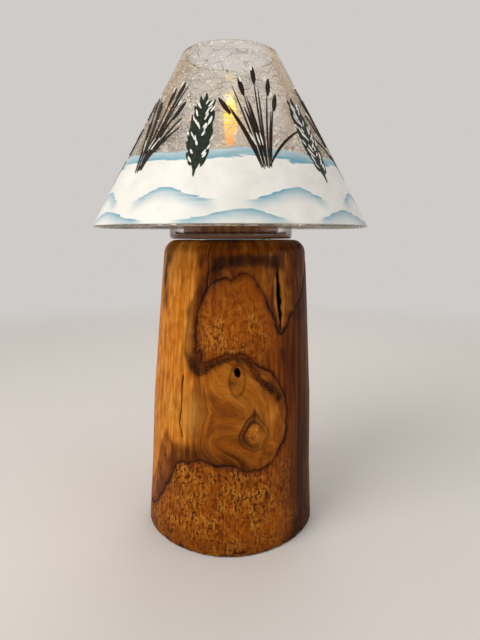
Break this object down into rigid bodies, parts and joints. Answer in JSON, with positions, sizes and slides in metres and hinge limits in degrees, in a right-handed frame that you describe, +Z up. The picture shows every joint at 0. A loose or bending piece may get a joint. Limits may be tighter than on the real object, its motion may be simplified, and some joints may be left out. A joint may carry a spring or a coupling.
{
  "type": "accent lamp",
  "caption": "Log-base accent lamp: crackle-glass cup and cone shade over a small battery candle with a swinging flame leaf.",
  "frame": {"origin": "on the table under the axis of the glass cup and shade", "axes": "+Z up, along the glass axis; -Y is the front, +X to the right of a viewer at the front"},
  "size_m": [0.197, 0.197, 0.3434],
  "materials": {
    "varnished_log": "glossy varnish over bark scars",
    "felt": "pressed felt",
    "clear_dots": "clear, soft",
    "cup_glass": "clear crackle glass",
    "riser_wood": "stained and waxed",
    "shade_glass": "crackle glass with a painted winter scene",
    "ivory_shell": "satin, ivory",
    "tube_glass": "clear, polished",
    "screw_steel": "zinc plated",
    "cell_steel": "nickel plated",
    "contact_steel": "nickel plated",
    "board_green": "solder mask",
    "chip_black": "moulded epoxy",
    "coil_copper": "enamelled copper wire",
    "switch_metal": "tinned",
    "knob_black": "satin",
    "flame_plastic": "translucent, frosted",
    "magnet_nickel": "nickel plated",
    "wire_steel": "drawn",
    "led_clear": "clear epoxy"
  },
  "bodies": {
    "log": {"log_base": "varnished_log", "felt_pad": "felt"},
    "cup": {"cup_bumpers": "clear_dots", "glass_cup": "cup_glass", "candle_riser": "riser_wood"},
    "shade": {"glass_shade": "shade_glass"},
    "candle": {"candle_base_shell": "ivory_shell", "candle_collar_shell": "ivory_shell", "candle_tube": "tube_glass", "shell_screws": "screw_steel", "coin_cell": "cell_steel", "negative_contact": "contact_steel", "positive_contact": "contact_steel", "circuit_board": "board_green", "controller_chip": "chip_black", "drive_coil": "coil_copper", "switch_body": "switch_metal", "pivot_wire": "wire_steel", "led": "led_clear", "led_leads": "contact_steel"},
    "flame": {"flame_leaf": "flame_plastic", "flame_magnet": "magnet_nickel"},
    "knob": {"switch_knob": "knob_black"},
    "door": {"battery_door": "ivory_shell"}
  },
  "joints": [
    {"name": "cup_turn", "type": "hinge", "parent": "log", "child": "cup", "pos_m": [0, 0, 0.217], "axis": [0, 0, 1], "continuous": true},
    {"name": "shade_lift", "type": "slide", "parent": "cup", "child": "shade", "axis": [0, 0, 1], "range_m": [0, 0.12]},
    {"name": "candle_lift", "type": "slide", "parent": "cup", "child": "candle", "axis": [0, 0, 1], "range_m": [0, 0.1]},
    {"name": "flame_swing", "type": "hinge", "parent": "candle", "child": "flame", "pos_m": [0, 0, 0.28], "axis": [0, 1, 0], "range_deg": [-8, 8]},
    {"name": "switch_slide", "type": "slide", "parent": "candle", "child": "knob", "axis": [1, 0, 0], "range_m": [0, 0.0022]},
    {"name": "door_turn", "type": "hinge", "parent": "candle", "child": "door", "pos_m": [0, -0.003, 0.259], "axis": [0, 0, 1], "range_deg": [0, 40]}
  ]
}
